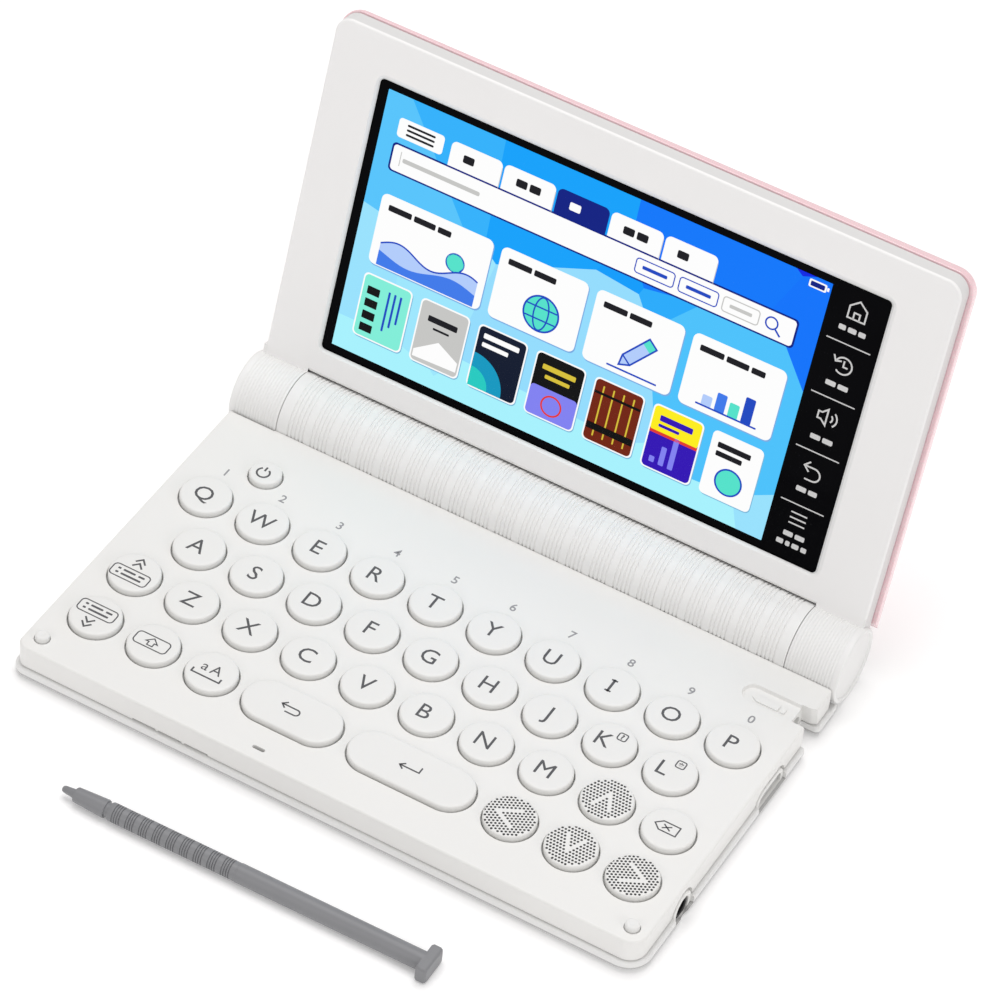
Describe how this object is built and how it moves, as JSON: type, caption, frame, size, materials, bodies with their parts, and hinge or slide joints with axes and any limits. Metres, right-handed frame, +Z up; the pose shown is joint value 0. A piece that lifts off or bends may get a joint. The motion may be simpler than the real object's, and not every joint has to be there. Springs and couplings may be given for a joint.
{
  "type": "electronic dictionary",
  "caption": "Pocket electronic dictionary with a lid that folds on a ribbed battery barrel, a touch display, round keys and a loose stylus.",
  "frame": {"origin": "middle of the flat underside, halfway between the front lip and the back of the barrel", "axes": "+Z up, +X along the hinge to the user's right, +Y from the front edge towards the hinge"},
  "size_m": [0.148, 0.1492, 0.0969],
  "materials": {
    "case_white": "satin",
    "lip_white": "fine matt",
    "barrel_white": "fine ribbed",
    "key_white": "satin",
    "cover_pink": "pearlescent",
    "glass_black": "polished",
    "display": "satin",
    "stylus_grey": "satin",
    "rubber_white": "matt",
    "membrane_grey": "matt",
    "board_green": "satin",
    "bright_metal": "bright",
    "black_plastic": "matt",
    "cell_jacket": "printed"
  },
  "bodies": {
    "base": {"top_case": "case_white", "bottom_cover": "lip_white", "barrel_housing": "barrel_white", "battery_left": "cell_jacket", "battery_right": "cell_jacket", "battery_contact": "bright_metal", "main_board": "board_green", "key_membrane": "membrane_grey", "speaker": "black_plastic", "headphone_jack": "black_plastic", "port_socket": "bright_metal", "bumper_left": "rubber_white", "bumper_right": "rubber_white"},
    "lid": {"lid_bezel": "case_white", "lid_cover": "cover_pink", "touch_glass": "glass_black", "lcd_panel": "display", "hinge_pin_left": "bright_metal", "hinge_pin_right": "bright_metal"},
    "battery_door": {"battery_door": "barrel_white"},
    "port_cover": {"port_cover": "case_white"},
    "stylus": {"stylus": "stylus_grey"},
    "key_q": {"key_q": "key_white"},
    "key_w": {"key_w": "key_white"},
    "key_e": {"key_e": "key_white"},
    "key_r": {"key_r": "key_white"},
    "key_t": {"key_t": "key_white"},
    "key_y": {"key_y": "key_white"},
    "key_u": {"key_u": "key_white"},
    "key_i": {"key_i": "key_white"},
    "key_o": {"key_o": "key_white"},
    "key_p": {"key_p": "key_white"},
    "key_a": {"key_a": "key_white"},
    "key_s": {"key_s": "key_white"},
    "key_d": {"key_d": "key_white"},
    "key_f": {"key_f": "key_white"},
    "key_g": {"key_g": "key_white"},
    "key_h": {"key_h": "key_white"},
    "key_j": {"key_j": "key_white"},
    "key_k": {"key_k": "key_white"},
    "key_l": {"key_l": "key_white"},
    "key_z": {"key_z": "key_white"},
    "key_x": {"key_x": "key_white"},
    "key_c": {"key_c": "key_white"},
    "key_v": {"key_v": "key_white"},
    "key_b": {"key_b": "key_white"},
    "key_n": {"key_n": "key_white"},
    "key_m": {"key_m": "key_white"},
    "key_entry_up": {"key_entry_up": "key_white"},
    "key_entry_down": {"key_entry_down": "key_white"},
    "key_shift": {"key_shift": "key_white"},
    "key_space": {"key_space": "key_white"},
    "key_back": {"key_back": "key_white"},
    "key_enter": {"key_enter": "key_white"},
    "key_delete": {"key_delete": "key_white"},
    "key_arrow_up": {"key_arrow_up": "key_white"},
    "key_arrow_down": {"key_arrow_down": "key_white"},
    "key_arrow_left": {"key_arrow_left": "key_white"},
    "key_arrow_right": {"key_arrow_right": "key_white"},
    "key_power": {"key_power": "key_white"}
  },
  "joints": [
    {"name": "lid_hinge", "type": "hinge", "parent": "base", "child": "lid", "pos_m": [0, 0.0419, 0.0088], "axis": [1, 0, 0], "range_deg": [-60, 104.8]},
    {"name": "stylus_lift", "type": "slide", "parent": "base", "child": "stylus", "axis": [0, 0, 1], "range_m": [0, 0.06]},
    {"name": "battery_door_slide", "type": "slide", "parent": "base", "child": "battery_door", "axis": [0, 1, 0], "range_m": [0, 0.008]},
    {"name": "port_cover_hinge", "type": "hinge", "parent": "base", "child": "port_cover", "pos_m": [0.0734, 0.01165, 0.0029], "axis": [0, 0, 1], "range_deg": [0, 100]},
    {"name": "key_q_press", "type": "slide", "parent": "base", "child": "key_q", "axis": [0, 0, -1], "range_m": [0, 0.0008], "stiffness_N_per_m": 600},
    {"name": "key_w_press", "type": "slide", "parent": "base", "child": "key_w", "axis": [0, 0, -1], "range_m": [0, 0.0008], "stiffness_N_per_m": 600},
    {"name": "key_e_press", "type": "slide", "parent": "base", "child": "key_e", "axis": [0, 0, -1], "range_m": [0, 0.0008], "stiffness_N_per_m": 600},
    {"name": "key_r_press", "type": "slide", "parent": "base", "child": "key_r", "axis": [0, 0, -1], "range_m": [0, 0.0008], "stiffness_N_per_m": 600},
    {"name": "key_t_press", "type": "slide", "parent": "base", "child": "key_t", "axis": [0, 0, -1], "range_m": [0, 0.0008], "stiffness_N_per_m": 600},
    {"name": "key_y_press", "type": "slide", "parent": "base", "child": "key_y", "axis": [0, 0, -1], "range_m": [0, 0.0008], "stiffness_N_per_m": 600},
    {"name": "key_u_press", "type": "slide", "parent": "base", "child": "key_u", "axis": [0, 0, -1], "range_m": [0, 0.0008], "stiffness_N_per_m": 600},
    {"name": "key_i_press", "type": "slide", "parent": "base", "child": "key_i", "axis": [0, 0, -1], "range_m": [0, 0.0008], "stiffness_N_per_m": 600},
    {"name": "key_o_press", "type": "slide", "parent": "base", "child": "key_o", "axis": [0, 0, -1], "range_m": [0, 0.0008], "stiffness_N_per_m": 600},
    {"name": "key_p_press", "type": "slide", "parent": "base", "child": "key_p", "axis": [0, 0, -1], "range_m": [0, 0.0008], "stiffness_N_per_m": 600},
    {"name": "key_a_press", "type": "slide", "parent": "base", "child": "key_a", "axis": [0, 0, -1], "range_m": [0, 0.0008], "stiffness_N_per_m": 600},
    {"name": "key_s_press", "type": "slide", "parent": "base", "child": "key_s", "axis": [0, 0, -1], "range_m": [0, 0.0008], "stiffness_N_per_m": 600},
    {"name": "key_d_press", "type": "slide", "parent": "base", "child": "key_d", "axis": [0, 0, -1], "range_m": [0, 0.0008], "stiffness_N_per_m": 600},
    {"name": "key_f_press", "type": "slide", "parent": "base", "child": "key_f", "axis": [0, 0, -1], "range_m": [0, 0.0008], "stiffness_N_per_m": 600},
    {"name": "key_g_press", "type": "slide", "parent": "base", "child": "key_g", "axis": [0, 0, -1], "range_m": [0, 0.0008], "stiffness_N_per_m": 600},
    {"name": "key_h_press", "type": "slide", "parent": "base", "child": "key_h", "axis": [0, 0, -1], "range_m": [0, 0.0008], "stiffness_N_per_m": 600},
    {"name": "key_j_press", "type": "slide", "parent": "base", "child": "key_j", "axis": [0, 0, -1], "range_m": [0, 0.0008], "stiffness_N_per_m": 600},
    {"name": "key_k_press", "type": "slide", "parent": "base", "child": "key_k", "axis": [0, 0, -1], "range_m": [0, 0.0008], "stiffness_N_per_m": 600},
    {"name": "key_l_press", "type": "slide", "parent": "base", "child": "key_l", "axis": [0, 0, -1], "range_m": [0, 0.0008], "stiffness_N_per_m": 600},
    {"name": "key_z_press", "type": "slide", "parent": "base", "child": "key_z", "axis": [0, 0, -1], "range_m": [0, 0.0008], "stiffness_N_per_m": 600},
    {"name": "key_x_press", "type": "slide", "parent": "base", "child": "key_x", "axis": [0, 0, -1], "range_m": [0, 0.0008], "stiffness_N_per_m": 600},
    {"name": "key_c_press", "type": "slide", "parent": "base", "child": "key_c", "axis": [0, 0, -1], "range_m": [0, 0.0008], "stiffness_N_per_m": 600},
    {"name": "key_v_press", "type": "slide", "parent": "base", "child": "key_v", "axis": [0, 0, -1], "range_m": [0, 0.0008], "stiffness_N_per_m": 600},
    {"name": "key_b_press", "type": "slide", "parent": "base", "child": "key_b", "axis": [0, 0, -1], "range_m": [0, 0.0008], "stiffness_N_per_m": 600},
    {"name": "key_n_press", "type": "slide", "parent": "base", "child": "key_n", "axis": [0, 0, -1], "range_m": [0, 0.0008], "stiffness_N_per_m": 600},
    {"name": "key_m_press", "type": "slide", "parent": "base", "child": "key_m", "axis": [0, 0, -1], "range_m": [0, 0.0008], "stiffness_N_per_m": 600},
    {"name": "key_entry_up_press", "type": "slide", "parent": "base", "child": "key_entry_up", "axis": [0, 0, -1], "range_m": [0, 0.0008], "stiffness_N_per_m": 600},
    {"name": "key_entry_down_press", "type": "slide", "parent": "base", "child": "key_entry_down", "axis": [0, 0, -1], "range_m": [0, 0.0008], "stiffness_N_per_m": 600},
    {"name": "key_shift_press", "type": "slide", "parent": "base", "child": "key_shift", "axis": [0, 0, -1], "range_m": [0, 0.0008], "stiffness_N_per_m": 600},
    {"name": "key_space_press", "type": "slide", "parent": "base", "child": "key_space", "axis": [0, 0, -1], "range_m": [0, 0.0008], "stiffness_N_per_m": 600},
    {"name": "key_back_press", "type": "slide", "parent": "base", "child": "key_back", "axis": [0, 0, -1], "range_m": [0, 0.0008], "stiffness_N_per_m": 600},
    {"name": "key_enter_press", "type": "slide", "parent": "base", "child": "key_enter", "axis": [0, 0, -1], "range_m": [0, 0.0008], "stiffness_N_per_m": 600},
    {"name": "key_delete_press", "type": "slide", "parent": "base", "child": "key_delete", "axis": [0, 0, -1], "range_m": [0, 0.0008], "stiffness_N_per_m": 600},
    {"name": "key_arrow_up_press", "type": "slide", "parent": "base", "child": "key_arrow_up", "axis": [0, 0, -1], "range_m": [0, 0.0008], "stiffness_N_per_m": 600},
    {"name": "key_arrow_down_press", "type": "slide", "parent": "base", "child": "key_arrow_down", "axis": [0, 0, -1], "range_m": [0, 0.0008], "stiffness_N_per_m": 600},
    {"name": "key_arrow_left_press", "type": "slide", "parent": "base", "child": "key_arrow_left", "axis": [0, 0, -1], "range_m": [0, 0.0008], "stiffness_N_per_m": 600},
    {"name": "key_arrow_right_press", "type": "slide", "parent": "base", "child": "key_arrow_right", "axis": [0, 0, -1], "range_m": [0, 0.0008], "stiffness_N_per_m": 600},
    {"name": "key_power_press", "type": "slide", "parent": "base", "child": "key_power", "axis": [0, 0, -1], "range_m": [0, 0.0008], "stiffness_N_per_m": 600}
  ]
}
